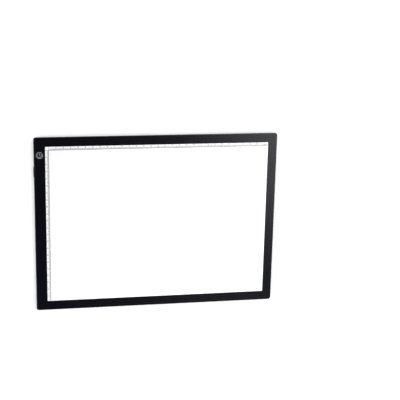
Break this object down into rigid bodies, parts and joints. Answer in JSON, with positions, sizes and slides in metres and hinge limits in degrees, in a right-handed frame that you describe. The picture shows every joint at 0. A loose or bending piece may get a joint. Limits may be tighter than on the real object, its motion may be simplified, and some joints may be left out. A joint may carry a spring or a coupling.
{
  "type": "led tracing pad",
  "caption": "Slim black light pad with an evenly lit white tracing panel, printed centimetre rulers, a touch key, a side supply socket and flat rubber feet.",
  "frame": {"origin": "under the middle of the outline, on the surface the feet stand on", "axes": "+X to the right along the long side, +Y towards the edge with the long ruler, +Z out of the lit face"},
  "size_m": [0.3392, 0.2486, 0.0062],
  "materials": {
    "black_abs": "moulded, satin, fine texture",
    "frosted_acrylic": "frosted white, lit evenly from behind",
    "clear_acrylic": "polished clear sheet",
    "white_film": "smooth white film",
    "clear_tape": "double-sided film tape",
    "board_laminate": "green solder mask",
    "flexible_strip": "white flexible laminate with soldered LEDs",
    "copper_foil": "bare copper",
    "chip_resin": "moulded epoxy, tinned legs",
    "ceramic": "fired ceramic with tinned ends",
    "nickel_steel": "nickel plated, folded",
    "gold_plate": "gold plated",
    "black_nylon": "moulded nylon",
    "red_pvc": "extruded sleeve",
    "black_pvc": "extruded sleeve",
    "black_rubber": "moulded, matt",
    "white_paper": "coated white sticker, bare"
  },
  "bodies": {
    "root": {"front_bezel": "black_abs", "back_cover": "black_abs", "tracing_panel": "frosted_acrylic", "diffuser_film": "white_film", "light_guide": "clear_acrylic", "reflector_sheet": "white_film", "panel_tape_top": "clear_tape", "panel_tape_bottom": "clear_tape", "panel_tape_left": "clear_tape", "panel_tape_right": "clear_tape", "edge_reflector_top": "white_film", "edge_reflector_bottom": "white_film", "edge_reflector_right": "white_film", "led_strip": "flexible_strip", "control_board": "board_laminate", "board_tape": "clear_tape", "touch_electrode": "copper_foil", "touch_chip": "chip_resin", "driver_chip": "chip_resin", "input_capacitor": "ceramic", "socket_shell": "nickel_steel", "socket_insulator": "black_nylon", "socket_contact_1": "gold_plate", "socket_contact_2": "gold_plate", "socket_contact_3": "gold_plate", "socket_contact_4": "gold_plate", "socket_contact_5": "gold_plate", "lead_positive": "red_pvc", "lead_negative": "black_pvc", "foot_top_left": "black_rubber", "foot_top_right": "black_rubber", "foot_bottom_left": "black_rubber", "foot_bottom_right": "black_rubber", "rating_label": "white_paper"}
  },
  "joints": []
}
